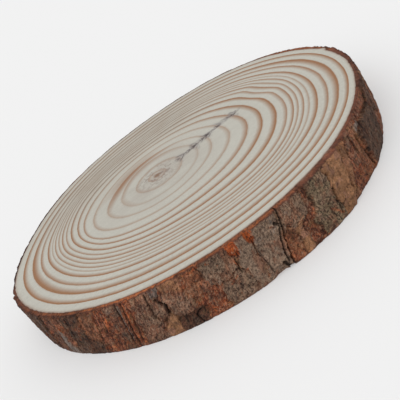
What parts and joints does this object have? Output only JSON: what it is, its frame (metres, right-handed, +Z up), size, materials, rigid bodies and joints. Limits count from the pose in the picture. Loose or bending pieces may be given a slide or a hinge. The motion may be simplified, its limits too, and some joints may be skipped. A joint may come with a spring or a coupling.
{
  "type": "wood slice",
  "caption": "Flat round cross-cut of a young pine trunk, with raw sawn faces, off-centre growth rings and a rim of rough plated bark.",
  "frame": {"origin": "middle of the slice's outline, on the lower sawn face", "axes": "+Z up, out of the upper sawn face; +X along the widest way across; the bark plates modelled one by one face -Y"},
  "size_m": [0.2234, 0.2196, 0.027],
  "materials": {
    "sawn_wood": "raw, fine sawn, matt",
    "bark": "rough, dry, flaking"
  },
  "bodies": {
    "root": {"wood_slice": "sawn_wood"}
  },
  "joints": []
}
